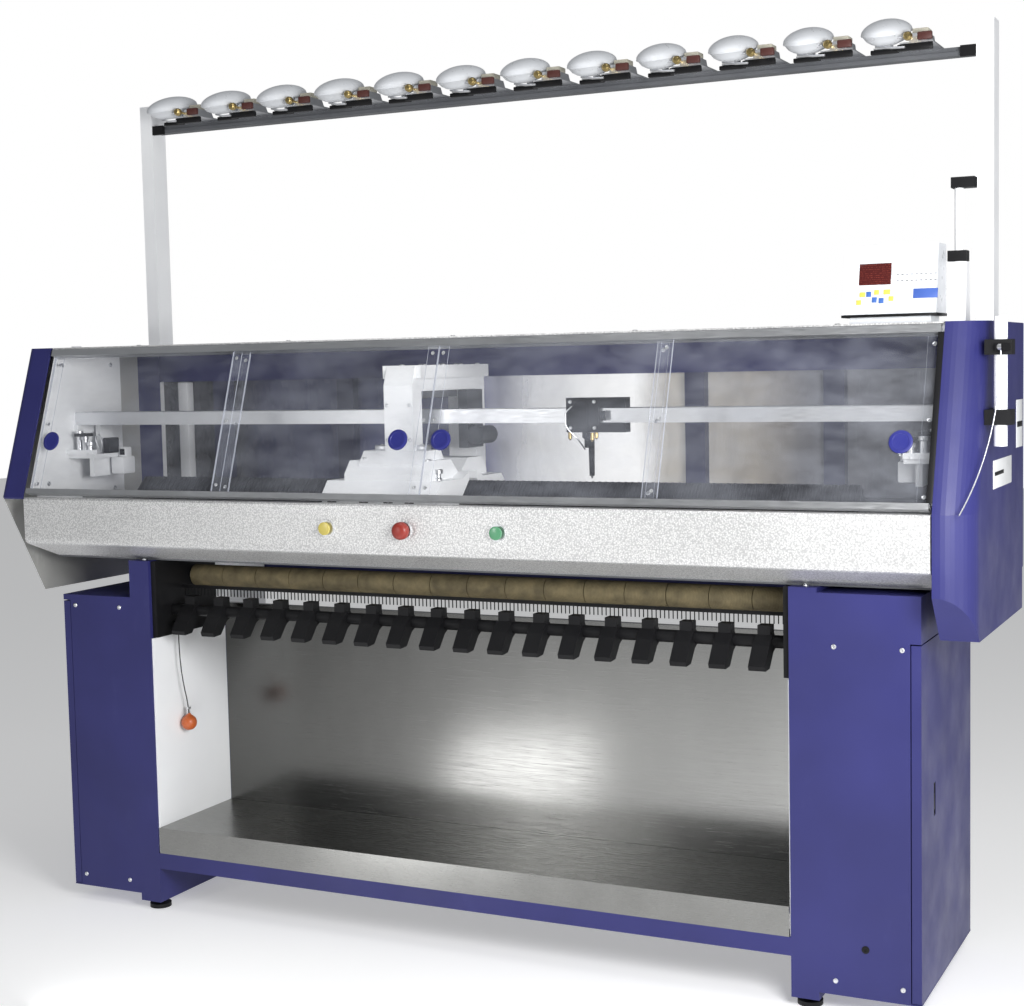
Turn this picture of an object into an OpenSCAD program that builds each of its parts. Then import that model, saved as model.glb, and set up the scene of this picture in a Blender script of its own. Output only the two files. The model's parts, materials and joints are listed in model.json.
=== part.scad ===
// Flat-bed (V-bed) power knitting machine with a yarn stand.
// +X is the right-hand side seen from the operator, -Y is the front, +Z is up.
// The origin is on the floor, under the middle of the machine.

/* [Legs and cabinets] */
// Half of the clear width between the leg frames
leg_inner = 820; // [780:1:840]
// Width of each leg frame
leg_w = 60; // [50:1:70]
// Height of the leg frames' top face
leg_top = 890; // [880:1:892]
// Front plane of the legs and cabinets
leg_front = -200; // [-205:1:-195]
// Rear plane of the legs and cabinets
leg_rear = 305; // [290:1:315]
// Outer half-width over the side cabinets
cabinet_outer = 1093; // [1080:1:1110]
// Underside of the cabinets
cabinet_bottom = 40; // [30:1:60]
// Top of the left cabinet
left_cabinet_top = 797; // [760:1:830]
// Top of the right cabinet
right_cabinet_top = 880; // [860:1:885]
// Top of both cabinet doors, under the end covers
cabinet_door_top = 780; // [740:1:786]
// Thickness of a cabinet door
cabinet_door_t = 20; // [16:1:24]

/* [Shelf] */
// Height of the shelf's top face
shelf_top = 215; // [200:1:230]
// Depth of the shelf tray
shelf_depth = 310; // [280:1:320]
// Top edge of the steel back panel
back_panel_top = 742; // [700:1:750]

/* [Upper body] */
// Outer half-width over the end covers
cover_outer = 1210; // [1190:1:1214]
// Half-width of the space between the end covers
cover_inner = 1133; // [1131:1:1140]
// Front plane of the front cover and end covers
nose_front = -290; // [-300:1:-280]
// Rear plane of the end covers
cover_rear = 280; // [270:1:282]
// Height of the body's top
body_top = 1425; // [1420:1:1430]
// Underside of the end covers
cover_bottom = 797; // [780:1:810]
// Height of the front cover's top ledge
ledge_z = 1051; // [1048:1:1053]

/* [Knitting head] */
// Height of the gap between the two needle beds
bed_apex_z = 1090; // [1085:1:1095]
// Depth position of the gap between the needle beds
bed_mid_y = -50; // [-52:1:-48]
// Half-length of a needle bed
bed_half = 935; // [900:1:950]
// Number of needles drawn on each bed
needle_count = 117; // [20:1:160]
// Centre of the carriage at rest
carriage_x = -112; // [-200:1:0]
// Centre of the yarn feeder's block at rest
feeder_x = 321; // [200:1:400]

/* [Take-down] */
// Radius of the take-down roller's sleeves
roller_r = 27; // [24:1:30]
// Number of sleeves on the take-down roller
sleeve_count = 16; // [8:1:20]
// Number of pressure levers on their shaft
lever_count = 18; // [6:1:18]
// Radius of the pressure shaft
pressure_r = 14; // [12:1:16]

/* [Doors and buttons] */
// Thickness of a clear sliding door
door_t = 4; // [3:1:4]
// Overlap of neighbouring doors
door_overlap = 40; // [30:1:50]
// Radius of a round door pull
pull_r = 24; // [18:1:28]
// Height of the push buttons
button_z = 995; // [985:1:1005]

/* [Yarn stand] */
// Height of the yarn posts' top
post_top = 2086; // [2060:1:2120]
// Underside of the yarn bar
yarn_bar_z = 2012; // [1990:1:2020]
// Number of yarn tension units
unit_count = 12; // [4:1:12]
// Distance between tension units
unit_pitch = 175.5; // [150:0.5:180]

/* [Hidden] */
$fn = 48;
sheet = 3;
root2 = sqrt(2);
leg_outer = leg_inner + leg_w;
body_rear = 320;
panel_x = 1130;
panel_in = panel_x - 4;
bed_gap = 6;
bed_t = 25;
roller_y = -35;
roller_z = 838;
roller_shaft_r = 15;
roller_half = 797;
pulley_x = 905;
motor_z = 560;
belt_t = 3;
pressure_y = -120;
pressure_z = 760;
lever_w = 38;
lever_pitch = 87.8;
plate_t = 14;
slope_y = nose_front + 3;
slope_z = ledge_z + 11;
slope_deg = 18.9;
slope_len = 379;
track_d = 23;
outer_door_y = 4.5;
inner_door_y = 14.5;
groove_t = 5;
groove_side = (groove_t - door_t) / 2;
door_low = 5;
door_high = slope_len - 6;
door_end = 1124;
door_mid = (door_end - 2 * 1) / 2 + 3;
pull_h = 140;
button_x = [-236, -34, 200];
stem_r = 10;
belt_y = 225;
drive_pulley_x = 1060;
drive_pulley_z = 1000;
drive_pulley_r = 38;
rail_ys = [-85, -50, -15];
rail_low = 1225;
rail_high = 1257;
bar_h = 20;
dome_z = 33;
dome_tilt = 14;
pole_x = 1116;
tube_x = 1238;
tube_y = -150;
tube_r = 13;
left_back = 210;
wire_r = 1.5;
wire_pivot_x = 1244;
wire_pivot_z = 1372;
wire_bend_r = 455;
wire_sweep = 44.5;
cord_r = 1.5;
knob_r = 20;
cord_route = [
    [-795, -120, 716], [-795, -120, 700], [-795, -120, 675], [-795, -119, 650],
    [-795, -117, 625], [-795, -114, 600], [-795, -109, 575], [-795, -103, 550],
    [-795, -97, 530], [-795, -93, 512], [-795, -91, 500], [-795, -90, 488]
];

// ---------- shared helpers ----------

// A box given by its low and high corner on each axis
module block(x0, x1, y0, y1, z0, z1)
    translate([x0, y0, z0]) cube([x1 - x0, y1 - y0, z1 - z0]);

// The same shape on the right-hand and the left-hand side
module both_sides() {
    children();
    mirror([1, 0, 0]) children();
}

// A fitting on the outside of each end cover; the left one sits further back
module on_covers() {
    children();
    translate([0, left_back, 0]) mirror([1, 0, 0]) children();
}

// The same shape on the front and the rear needle bed
module both_beds() {
    children();
    translate([0, 2 * bed_mid_y, 0]) mirror([0, 1, 0]) children();
}

// A (Y, Z) outline swept along X from x0 to x1
module along_x(outline, x0, x1)
    translate([x0, 0, 0]) rotate([90, 0, 90]) linear_extrude(x1 - x0) polygon(outline);

// A round bar along X
module bar_x(r, x0, x1, y, z)
    translate([x0, y, z]) rotate([0, 90, 0]) cylinder(h = x1 - x0, r = r);

// A round bar along Y
module bar_y(r, x, y0, y1, z)
    translate([x, y0, z]) rotate([-90, 0, 0]) cylinder(h = y1 - y0, r = r);

// A point on the front bed: s runs down the bed from the gap, h stands off its face
function bed_pt(s, h) = [
    bed_mid_y - bed_gap / 2 - (s + h) / root2,
    bed_apex_z - (s - h) / root2
];

// The sloped door plane: local X across, local Y inwards, local Z up the slope
module on_slope()
    translate([0, slope_y, slope_z]) rotate([-slope_deg, 0, 0]) children();

// ---------- legs, feet and shelf ----------

module leg_frames() color("#33329a") both_sides() difference() {
    block(leg_inner, leg_outer, leg_front, leg_rear, 22, leg_top);
    block(leg_inner + 8, leg_outer + 1, leg_front + 8, leg_rear - 8, 60, leg_top - 90);
    bar_x(roller_shaft_r + 1, leg_inner - 1, leg_outer + 1, roller_y, roller_z);
}

module levelling_feet() color("#1b1b1f") both_sides()
    for (y = [leg_front + 38, leg_rear - 38]) translate([leg_inner + leg_w / 2, y, 0]) {
        cylinder(h = 10, r = 27);
        cylinder(h = 22, r = 8);
        translate([0, 0, 13]) cylinder(h = 9, r = 14, $fn = 6);
    }

module cross_beams() color("#2d2c93") {
    block(-leg_inner, leg_inner, leg_front, leg_front + 50, 110, 150);
    block(-leg_inner, leg_inner, leg_front + shelf_depth - 47, leg_front + shelf_depth + 3,
          110, 150);
}

module shelf_tray() {
    y0 = leg_front;
    y1 = leg_front + shelf_depth;
    outline = [
        [y0 + 20, 150], [y0, 150], [y0, shelf_top], [y1, shelf_top], [y1, 150],
        [y1 - 2, 150], [y1 - 2, shelf_top - 2], [y0 + 2, shelf_top - 2], [y0 + 2, 152],
        [y0 + 20, 152]
    ];
    color("#a9a9a4") along_x(outline, 1 - leg_inner + sheet, leg_inner - sheet - 1);
}

module back_panel() {
    y0 = leg_front + shelf_depth + 1;
    half = leg_inner - sheet - 1;
    color("#9c9c98") {
        block(-half, half, y0, y0 + 2, 150, back_panel_top);
        block(-half, half, y0, y0 + 16, back_panel_top, back_panel_top + 3);
    }
}

module inner_walls() color("#e8e9ec") both_sides() {
    block(leg_inner - sheet, leg_inner, leg_front + 4, leg_front + shelf_depth, 150, 695);
    block(leg_inner - sheet, leg_inner, 61, leg_rear - 5, 694, leg_top - 5);
}

module take_down_plates() color("#1c1c20") {
    both_sides() difference() {
        block(leg_inner - plate_t, leg_inner, leg_front + 10, 60, 697, leg_top - 2);
        bar_x(roller_shaft_r + 0.06, leg_inner - 20, leg_inner + 1, roller_y, roller_z);
        bar_x(pressure_r + 0.06, leg_inner - 20, leg_inner + 1, pressure_y, pressure_z);
    }
    difference() {
        block(plate_t - leg_inner, -783, -130, -110, 716, 726);
        translate([-795, -120, 715]) cylinder(h = 12, r = cord_r);
    }
}

// ---------- side cabinets ----------

module cabinet(top) {
    wall_end = cabinet_outer - cabinet_door_t - 2;
    difference() {
        block(leg_outer, cabinet_outer, leg_front, leg_rear, cabinet_bottom, top);
        block(leg_outer + 4, wall_end + 1, leg_front + 3, leg_rear - 3,
              cabinet_bottom + 3, top - 3);
        block(wall_end, cabinet_outer + 1, leg_front - 1, leg_rear + 1,
              cabinet_bottom + 3, cabinet_door_top + 3);
        bar_x(roller_shaft_r + 4, leg_outer - 1, leg_outer + 9, roller_y, roller_z);
    }
    for (z = [cabinet_bottom + 2, cabinet_door_top - 10])
        translate([cabinet_outer - 10, leg_rear - 12, z]) cylinder(h = 14, r = 5);
}

module cabinet_door() {
    x0 = cabinet_outer - cabinet_door_t;
    z0 = cabinet_bottom + 4;
    z1 = cabinet_door_top;
    difference() {
        block(x0, cabinet_outer, leg_front + 1, leg_rear - 2, z0, z1);
        block(x0 - 1, cabinet_outer - 3, leg_front + 14, leg_rear - 30, z0 + 20, 370);
        block(x0 - 1, cabinet_outer - 3, leg_front + 14, leg_rear - 30, 510, z1 - 20);
        block(cabinet_outer - 12, cabinet_outer + 1, -84, -66, 406, 476);
        for (z = [z0 - 1, z1 - 13])
            translate([cabinet_outer - 10, leg_rear - 12, z]) cylinder(h = 15, r = 5.06);
    }
}

module left_cabinet() color("#2f2e95") mirror([1, 0, 0]) cabinet(left_cabinet_top);
module right_cabinet() color("#33329a") cabinet(right_cabinet_top);
module left_cabinet_door() color("#2f2e95") mirror([1, 0, 0]) cabinet_door();
module right_cabinet_door() color("#33329a") cabinet_door();

module electronics_rack() color("#8d9298") {
    block(-892, -888, -150, 250, 120, 740);
    for (y = [-130, 230], z = [140, 720]) bar_x(6, -888, 1 - leg_outer - 5, y, z);
    for (z = [160, 330, 500]) block(-980, -892, -120, 80, z, z + 130);
    block(-1000, -892, 110, 230, 160, 300);
    for (z = [360, 450, 540, 630]) block(-940, -892, 110, 230, z, z + 60);
}

// ---------- needle beds ----------

module bed_girders() color("#5a5d62") both_beds() {
    under = bed_apex_z - bed_t * root2;
    near = bed_mid_y - 18;
    far = bed_mid_y - 120;
    near_z = under - (bed_mid_y - bed_gap / 2 - near);
    far_z = under - (bed_mid_y - bed_gap / 2 - far);
    outline = [
        [near, leg_top], [far, leg_top], [far, 930], [far - 45, 930], [far - 45, 952],
        [far - 27, 952], [far - 27, 940], [far, 940], [far, far_z], [near, near_z]
    ];
    along_x(outline, -panel_in, panel_in);
}

module needle_beds() color("#2b2b30") both_beds()
    along_x([
        bed_pt(0, 0), bed_pt(165, 0),
        bed_pt(165, 0) - [0, bed_t * root2], bed_pt(0, 0) - [0, bed_t * root2]
    ], -bed_half, bed_half);

module needles() {
    pitch = (2 * bed_half - 14) / (needle_count - 1);
    outline = [
        bed_pt(2, 0), bed_pt(2, 3), bed_pt(90, 3), bed_pt(90, 9), bed_pt(100, 9),
        bed_pt(100, 3), bed_pt(162, 3), bed_pt(162, 0)
    ];
    color("#4a4b50") both_beds() for (i = [0 : needle_count - 1])
        along_x(outline, i * pitch - bed_half + 5, i * pitch - bed_half + 9);
}

module feeder_rails() color("#b9bcc2") for (y = rail_ys)
    block(-panel_in, panel_in, y - 4, y + 4, rail_low, rail_high);

// ---------- carriage ----------

// One layer of the stepped front cam box, between two offsets from its middle
module cam_layer(x0, x1, front, top)
    along_x([
        bed_pt(8, 14), bed_pt(172, 14), [front, 972], [front, top - 30],
        [front + 26, top], [bed_mid_y - 52, top], [bed_mid_y - 19, 1112]
    ], carriage_x + x0, carriage_x + x1);

module cam_boxes() color("#eceef0") {
    difference() {
        union() {
            cam_layer(-172, 130, -232, 1098);
            cam_layer(-126, 100, -205, 1143);
            cam_layer(-96, 74, -190, 1165);
        }
        for (x = [-145, -60, 5, 60])
            block(carriage_x + x - 12, carriage_x + x + 12, -240, -224, 1046, 1062);
    }
    translate([0, 2 * bed_mid_y, 0]) mirror([0, 1, 0]) {
        cam_layer(-150, 130, -225, 1098);
        cam_layer(-110, 90, -198, 1140);
    }
}

module carriage_bridge() color("#f1f1ef") {
    x = carriage_x;
    along_x([
        [-165, 1165], [-165, 1315], [-146, 1361], [200, 1361], [200, 1056], [150, 1056],
        [150, 1301], [-120, 1301], [-120, 1165]
    ], x - 38, x + 37);
    block(x - 50, x + 50, -146, 200, 1331, 1361);
    block(x - 38, x + 37, 98.4, 150, 1100, 1128);
    block(x - 38, x + 37, 200, belt_y - 12, drive_pulley_z + 22, 1090);
    block(x - 38, x + 37, 200, belt_y + 8,
          drive_pulley_z + drive_pulley_r + belt_t + 1, 1090);
}

module feeder_selector() color("#4b4d52") {
    x = carriage_x;
    block(x - 44, x + 46, -100, 40, 1285, 1301);
    for (y = rail_ys, dx = [-24, 26])
        translate([x + dx, y, 1283]) cylinder(h = 3, r = 5);
    block(x + 37, x + 62, 60, 140, 1160, 1300);
    bar_y(22, x + 80, 60, 140, 1190);
}

module yarn_feeder() color("#17171a") {
    x0 = feeder_x - 39;
    x1 = feeder_x + 39;
    block(x0, x1, -100, -89.5, 1204, 1281);
    block(x0, x1, -80.5, -70, 1204, 1281);
    block(x0, x1 + 64, -100, -70, rail_high + 0.5, 1281);
    block(x0, x1 + 64, -100, -70, 1204, rail_low - 0.5);
    along_x([[-90, 1192], [-90, 1204], [-72, 1204], [-44, 1188], [-47, 1104],
             [-53, 1104], [-57, 1180]], feeder_x - 5, feeder_x + 5);
}

// ---------- drives ----------

module belt_loop(r, length) {
    linear_extrude(20) difference() {
        union() {
            circle(r + belt_t);
            translate([length, 0]) circle(r + belt_t);
            translate([0, -r - belt_t]) square([length, 2 * (r + belt_t)]);
        }
        circle(r + 0.3);
        translate([length, 0]) circle(r + 0.3);
        translate([0, -r - 0.3]) square([length, 2 * r + 0.6]);
    }
}

module drive_belts() color("#202124") {
    translate([-drive_pulley_x, belt_y + 10, drive_pulley_z]) rotate([90, 0, 0])
        belt_loop(drive_pulley_r, 2 * drive_pulley_x);
    translate([pulley_x - 10, roller_y, motor_z]) rotate([0, -90, 180])
        belt_loop(30, roller_z - motor_z);
}

module drive_pulley(x) translate([x, belt_y, drive_pulley_z]) rotate([90, 0, 0]) difference() {
    union() {
        translate([0, 0, -11]) cylinder(h = 22, r = drive_pulley_r);
        translate([0, 0, -11]) cylinder(h = 26, r = drive_pulley_r - 10);
    }
    translate([0, 0, -20]) cylinder(h = 50, r = 10.05);
    for (a = [0 : 60 : 300]) rotate(a) translate([24, 0, -20]) cylinder(h = 50, r = 5);
}

module drive_pulley_left() color("#c2c5c9") drive_pulley(-drive_pulley_x);
module drive_pulley_right() color("#c2c5c9") drive_pulley(drive_pulley_x);

module motor_pulley() color("#c2c5c9") {
    bar_x(29.6, pulley_x - 11, pulley_x + 11, roller_y, motor_z);
    bar_x(9, pulley_x + 11, pulley_x + 28, roller_y, motor_z);
}

module motors() color("#35363a") {
    // carriage motor and the idler's axle, both on the rear frame's lower beam
    bar_y(10, drive_pulley_x, belt_y - 20, 248, drive_pulley_z);
    bar_y(10, -drive_pulley_x, belt_y - 20, 248, drive_pulley_z);
    block(drive_pulley_x - 45, drive_pulley_x + 45, 248, 305, drive_pulley_z - 45,
          drive_pulley_z + 45);
    block(-drive_pulley_x - 30, 30 - drive_pulley_x, 248, 305, drive_pulley_z - 30,
          drive_pulley_z + 30);
    // take-down motor in the right cabinet
    difference() {
        block(pulley_x + 15, pulley_x + 125, roller_y - 45, roller_y + 45,
              motor_z - 45, motor_z + 45);
        bar_x(9.06, pulley_x + 10, pulley_x + 30, roller_y, motor_z);
    }
    block(leg_outer + 4, pulley_x + 125, roller_y - 45, roller_y + 45,
          motor_z - 57, motor_z - 45);
}

module take_down_shaft() color("#9da0a5") {
    bar_x(roller_shaft_r, 2 - leg_inner, pulley_x + 14, roller_y, roller_z);
    bar_x(29.6, pulley_x - 11, pulley_x + 11, roller_y, roller_z);
}

module take_down_roller() {
    pitch = 2 * roller_half / sleeve_count;
    color("#b79a63") for (i = [0 : sleeve_count - 1]) difference() {
        bar_x(roller_r, i * pitch - roller_half + 1, (i + 1) * pitch - roller_half - 1,
              roller_y, roller_z);
        bar_x(roller_shaft_r + 0.05, i * pitch - roller_half, (i + 1) * pitch - roller_half,
              roller_y, roller_z);
    }
}

module pressure_lever(x) translate([x, pressure_y, pressure_z]) difference() {
    union() {
        bar_x(20, -lever_w / 2 + 4, lever_w / 2 - 4, 0, 0);
        block(-14, 14, -14, 14, 12, 36);
        along_x([
            [12, 12], [-14, 16], [-36, -4], [-66, -44], [-62, -54], [-34, -52], [-8, -22],
            [12, -12]
        ], -lever_w / 2, lever_w / 2);
    }
    bar_x(pressure_r + 0.05, -lever_w, lever_w, 0, 0);
}

module pressure_shaft() color("#141417") {
    bar_x(pressure_r, 2 - leg_inner, leg_inner - 2, pressure_y, pressure_z);
    for (i = [0 : lever_count - 1])
        pressure_lever((i - (lever_count - 1) / 2) * lever_pitch);
}

module fabric_comb() color("#1a1a1c") {
    half = leg_inner - plate_t;
    block(-half, half, -84, -80, 810, 818);
    for (x = [8 - half : 10 : half - 8]) block(x, x + 2, -83, -81, 792, 811);
}

// ---------- front cover and buttons ----------

function front_outline() = [
    [nose_front + 40, ledge_z], [nose_front + 4, ledge_z], [nose_front, ledge_z - 4],
    [nose_front, 952], [nose_front + 1, 944], [nose_front + 5, 938], [nose_front + 11, 934],
    [-170, 894], [-170, 897.2], [nose_front + 12, 937], [nose_front + 7, 941],
    [nose_front + 4, 946], [nose_front + 3, 952], [nose_front + 3, ledge_z - 5],
    [nose_front + 5, ledge_z - 3], [nose_front + 40, ledge_z - 3]
];

module front_cover() color("#cfd0cd") {
    difference() {
        along_x(front_outline(), -panel_x, panel_x);
        for (x = button_x) bar_y(15, x, nose_front - 1, nose_front + 4, button_z);
    }
    both_sides() along_x([
        [nose_front + 40, ledge_z - 2], [nose_front + 4, ledge_z - 2],
        [nose_front + 1, ledge_z - 5], [nose_front + 1, 950], [nose_front + 6, 940],
        [nose_front + 12, 935.5], [-172, 895.5], [-172, 930]
    ], panel_x - 3, panel_x);
}

module button_bezels() color("#b8babd") for (x = button_x) difference() {
    union() {
        bar_y(19, x, nose_front - 5, nose_front, button_z);
        bar_y(14.9, x, nose_front - 1, nose_front + 28, button_z);
    }
    bar_y(stem_r + 0.06, x, nose_front - 6, nose_front + 30, button_z);
}

module push_button(x, head_r, head_t) {
    bar_y(stem_r, x, nose_front - 9, nose_front + 22, button_z);
    bar_y(head_r, x, nose_front - 9 - head_t, nose_front - 9, button_z);
    bar_y(head_r - 2, x, nose_front - 11 - head_t, nose_front - 8 - head_t, button_z);
}

module button_yellow() color("#d8c63a") push_button(button_x[0], 15, 5);
module button_red() color("#c23a2c") push_button(button_x[1], 20, 19);
module button_green() color("#3f9a68") push_button(button_x[2], 15, 5);

// ---------- end covers ----------

// Plan outline of an end cover with a rounded outer front corner
function cover_outline(front, inset, corner) =
    let (x0 = cover_inner - (inset > 0 ? 1 : 0), r = corner - inset)
    concat(
        [[cover_outer - inset, cover_rear - inset], [x0, cover_rear - inset],
         [x0, front + inset]],
        [for (a = [-90 : 7.5 : 0])
            [cover_outer - corner + r * cos(a), front + corner + r * sin(a)]]
    );

// Solid of an end cover, which leans back above the ledge
module cover_solid(inset, corner, low_front) hull() {
    for (level = [
        [low_front, cover_bottom + inset], [nose_front, ledge_z - 0.5],
        [-162, body_top - inset - 1]
    ]) translate([0, 0, level[1]]) linear_extrude(1)
        polygon(cover_outline(level[0], inset, corner));
}

// Everything in front of and under the sloped lower edge of the nose
module nose_cut(inset) {
    run = nose_front + 75;
    along_x([
        [nose_front - 60, 890 + inset + 74.4], [nose_front + inset, 890 + inset],
        [run + inset, cover_bottom + inset], [run + 60, cover_bottom - 60],
        [nose_front - 60, cover_bottom - 60]
    ], cover_inner - 20, cover_outer + 20);
}

module right_end_cover() color("#3a39a0") difference() {
    cover_solid(0, 70, nose_front);
    difference() {
        cover_solid(4, 70, nose_front);
        nose_cut(4);
    }
    nose_cut(0);
}

module left_end_cover() color("#2c2b8e") mirror([1, 0, 0]) difference() {
    cover_solid(0, 25, -150);
    cover_solid(4, 25, -150);
    block(cover_inner - 1, cover_outer - 4, nose_front - 10, -100, cover_bottom + 4, ledge_z - 4);
    block(cover_inner - 1, cover_outer - 4, -160, cover_rear - 4, cover_bottom - 1, cover_bottom + 5);
}

module end_panels() color("#eeeef0") both_sides() {
    along_x([
        [-148, 1421.4], [100, 1421.4], [100, 1005], [-215, 1005], [-245, 1062], [-266, 1068]
    ], panel_in, panel_x);
    block(1040, panel_in, -128, -110, 1150, 1162);
    block(1040, panel_in, -120, 20, 1140, 1150);
    block(1060, 1074, -100, 0, 1092, 1140);
    block(1085, 1100, -40, 10, 1092, 1225);
    block(panel_in - 14, panel_in, -95, -5, 1205, 1225);
    // stays that carry the end covers
    for (z = [1030, 1380]) block(panel_x, cover_outer - 4, 90, 100, z, z + 12);
}

// ---------- top, rear and door tracks ----------

module top_cover() color("#c6c9cc") {
    block(-panel_x, panel_x, -158, 284, 1421.4, body_top);
    block(-panel_in, panel_in, 60, 90, 1404, 1421.4);
}

module rear_frame() color("#2b2a8c") {
    half = cover_outer - 5;
    block(-half, half, 284, body_rear, 1330, body_top);
    block(-half, half, leg_rear, body_rear, 884, 1010);
    block(-1060, 1060, leg_rear, body_rear, 812, 884);
    both_sides() block(1150, half, 284, body_rear, 884, 1330);
    for (x = [-960, -560, 420, 760]) block(x, x + 50, 290, body_rear - 2, 1008, 1330);
}

module rear_screens() color("#6f7480", 0.6) {
    edges = [-1150, -935, -535, 445, 785, 1150];
    for (i = [0 : len(edges) - 2])
        block(edges[i] + 1, edges[i + 1] - 1, body_rear - 2, body_rear, 1010, 1330);
}

module door_tracks() color("#b4b7bb") on_slope() {
    difference() {
        block(-panel_in, panel_in, 0, track_d, 0, 13);
        for (y = [outer_door_y, inner_door_y])
            block(-panel_in - 1, panel_in + 1, y - groove_side, y + door_t + groove_side, 4, 14);
    }
    difference() {
        block(-panel_in, panel_in, 0, track_d, slope_len - 17, slope_len);
        for (y = [outer_door_y, inner_door_y])
            block(-panel_in - 1, panel_in + 1, y - groove_side, y + door_t + groove_side,
                  slope_len - 18, slope_len - 4);
    }
}

// ---------- sliding doors ----------

module sliding_door(x0, x1, y, strip_y) on_slope() {
    block(x0, x1, y, y + door_t, door_low, door_high);
    for (x = [x0, x1 - 26]) block(x, x + 26, strip_y, strip_y + 2, 15, slope_len - 19);
}

outer_door_x1 = door_mid;
inner_door_x0 = door_mid - door_overlap;

module outer_door() sliding_door(0.6, outer_door_x1, outer_door_y, outer_door_y - 2);
module inner_door() sliding_door(inner_door_x0, door_end, inner_door_y, inner_door_y + door_t);

module door_1() color("#cfd6dc", 0.35) mirror([1, 0, 0]) inner_door();
module door_2() color("#cfd6dc", 0.35) mirror([1, 0, 0]) outer_door();
module door_3() color("#cfd6dc", 0.35) outer_door();
module door_4() color("#cfd6dc", 0.35) inner_door();

module door_pull(x, y0, y1) color("#2c2ba0") on_slope() {
    translate([x, y1, pull_h]) rotate([90, 0, 0]) cylinder(h = y1 - y0, r = pull_r);
}

// A pull on an outer door stands over the door's edge strip on a boss
module outer_pull(x) {
    door_pull(x, outer_door_y - 8, outer_door_y - 2);
    on_slope() translate([x, outer_door_y, pull_h]) rotate([90, 0, 0]) cylinder(h = 2.5, r = 9);
}

module door_pull_1() door_pull(-1086, inner_door_y - 3, inner_door_y);
module door_pull_2() outer_pull(-72);
module door_pull_3() outer_pull(38);
module door_pull_4() door_pull(1060, inner_door_y - 3, inner_door_y);

// ---------- yarn stand ----------

module yarn_posts() color("#e9eaeb") {
    both_sides() {
        block(1095, 1170, 242, body_rear, body_top, body_top + 6);
        block(1113, 1151, 260, body_rear, body_top + 6, post_top);
    }
    // spare tube held beside each end cover
    on_covers() translate([tube_x, tube_y, 1178]) cylinder(h = 254, r = tube_r);
    // pole and its foot beside the control box
    translate([pole_x, 60, body_top]) cylinder(h = 285, r = 9);
    difference() {
        along_x([[35, body_top], [85, body_top], [74, 1552], [46, 1552]], pole_x - 19, pole_x + 18);
        translate([pole_x, 60, body_top - 1]) cylinder(h = 300, r = 9);
    }
}

module yarn_bar() color("#8f9296") {
    block(-1113, 1113, 272, 306, yarn_bar_z, yarn_bar_z + 9);
    block(-1113, 1113, 280, 300, yarn_bar_z + 9, yarn_bar_z + bar_h);
    both_sides() block(1078, 1113, 262, 272, yarn_bar_z - 4, yarn_bar_z + 20);
}

module at_units()
    for (i = [0 : unit_count - 1])
        translate([(i - (unit_count - 1) / 2) * unit_pitch, 0, yarn_bar_z + bar_h]) children();

module tension_plates() color("#c9ccd3") at_units() {
    along_x([[178, 0], [300, 0], [300, 3], [178, 3]], 0, 72);
    along_x([[178, 3], [178, 14], [186, 22], [250, 22], [262, 3]], 21, 60);
    block(-66, 0, 215, 300, 0, 3);
}

module tension_domes() color("#f4f6f8") at_units() translate([-34, 205, 0]) {
    translate([0, 0, dome_z]) rotate([dome_tilt, 0, 0]) scale([54, 90, 29]) sphere(r = 1, $fn = 24);
    translate([0, 26, 3]) cylinder(h = 15, r = 8);
}

module tension_knobs() color("#b49a55") at_units() {
    bar_y(10, 24, 142, 160, 11);
    bar_y(3, 24, 160, 178, 11);
}

// ---------- control box, tubes and wire arms ----------

module control_box() color("#f3f3f3") {
    along_x([[-130, 1444], [-102, 1584], [-30, 1584], [-30, 1444]], 918, 1108);
    block(930, 1096, -118, -42, body_top, 1444);
}

module tube_clamps() color("#3a3b3f") {
    for (clamp = [[1095, 1134, 1553], [1102, 1150, 1704]]) difference() {
        block(clamp[0], clamp[1], 44, 76, clamp[2], clamp[2] + 22);
        translate([pole_x, 60, clamp[2] - 1]) cylinder(h = 24, r = 9.05);
    }
    on_covers() for (z = [1357, 1220]) difference() {
        union() {
            block(cover_outer, 1262, tube_y - 20, tube_y + 20, z, z + 30);
            block(cover_outer, cover_outer + 12, tube_y, -70, z, z + 30);
        }
        translate([tube_x, tube_y, z - 1]) cylinder(h = 32, r = tube_r + 0.05);
    }
    wire_fork(1, 64.3);
    wire_fork(-1, 90);
}

// A wire arm's pivot, with local X pointing back from the bend and the pin along local Y
module at_wire_pivot(side, turn)
    translate([side * wire_pivot_x, tube_y - 34 + (side < 0 ? left_back : 0), wire_pivot_z])
        rotate([0, 0, turn]) children();

module wire_fork(side, turn) at_wire_pivot(side, turn) {
    rotate([90, 0, 0]) translate([0, 0, -8]) cylinder(h = 16, r = 3);
    for (y = [-9.5, 5.5]) block(-7, 12, y, y + 4, -7, 7);
    block(8, 17, -9.5, 9.5, -7, 7);
}

module wire_arm(side, turn) color("#d9dadc") at_wire_pivot(side, turn) {
    difference() {
        rotate([90, 0, 0]) translate([0, 0, -5]) cylinder(h = 10, r = 6);
        rotate([90, 0, 0]) translate([0, 0, -6]) cylinder(h = 12, r = 3.06);
    }
    difference() {
        translate([-wire_bend_r, 0, 0]) rotate([-90, 0, 0])
            rotate_extrude(angle = wire_sweep, $fn = 96) translate([wire_bend_r, 0])
                circle(r = wire_r, $fn = 16);
        rotate([90, 0, 0]) translate([0, 0, -6]) cylinder(h = 12, r = 4.5);
    }
}

module left_wire_arm() wire_arm(-1, 90);
module right_wire_arm() wire_arm(1, 64.3);

// ---------- pull cord ----------

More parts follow.
